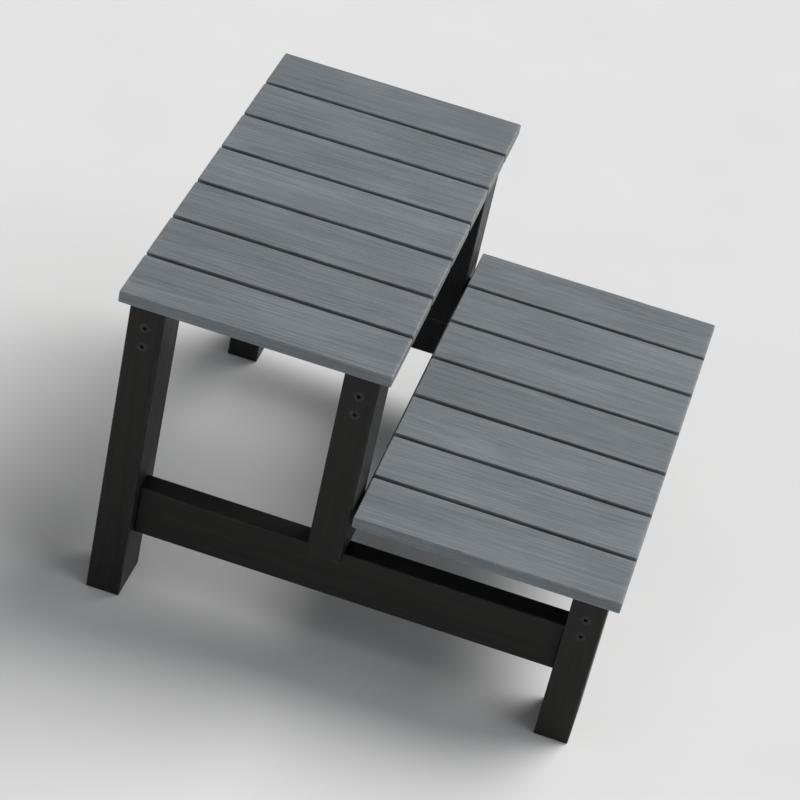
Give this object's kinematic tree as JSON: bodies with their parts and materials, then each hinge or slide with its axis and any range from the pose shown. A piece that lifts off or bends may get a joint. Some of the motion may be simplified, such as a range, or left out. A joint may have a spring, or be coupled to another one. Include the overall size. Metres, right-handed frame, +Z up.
{
  "type": "spa steps",
  "caption": "Free-standing steps for a spa tub: an upper and a lower tread of front-to-back composite slats on dark leg frames with side stretchers and cross rails.",
  "frame": {"origin": "on the ground, under the middle of the overall box", "axes": "+X points away from the tub towards the lower tread, +Z is up, and Y runs across the width, with Y = 0 in the middle"},
  "size_m": [0.606, 0.6, 0.412],
  "materials": {
    "slat_board": "blue-grey composite board with a fine embossed wood grain, satin",
    "frame_board": "near-black composite lumber with a fine embossed wood grain, satin",
    "black_screws": "black-coated steel",
    "dowel_wood": "plain beech"
  },
  "bodies": {
    "root": {"upper_slat_1": "slat_board", "upper_slat_2": "slat_board", "upper_slat_3": "slat_board", "upper_slat_4": "slat_board", "upper_slat_5": "slat_board", "upper_slat_6": "slat_board", "upper_slat_7": "slat_board", "lower_slat_1": "slat_board", "lower_slat_2": "slat_board", "lower_slat_3": "slat_board", "lower_slat_4": "slat_board", "lower_slat_5": "slat_board", "lower_slat_6": "slat_board", "lower_slat_7": "slat_board", "rear_leg_left": "frame_board", "rear_leg_right": "frame_board", "middle_leg_left": "frame_board", "middle_leg_right": "frame_board", "front_leg_left": "frame_board", "front_leg_right": "frame_board", "side_stretcher_left": "frame_board", "side_stretcher_right": "frame_board", "upper_rear_rail": "frame_board", "upper_front_rail": "frame_board", "lower_front_rail": "frame_board", "lower_rear_ledger": "frame_board", "rail_screws": "black_screws", "stretcher_screws": "black_screws", "middle_leg_screws": "black_screws", "ledger_screws": "black_screws", "upper_slat_screws": "black_screws", "lower_slat_screws": "black_screws", "upper_slat_dowels": "dowel_wood", "lower_slat_dowels": "dowel_wood"}
  },
  "joints": []
}
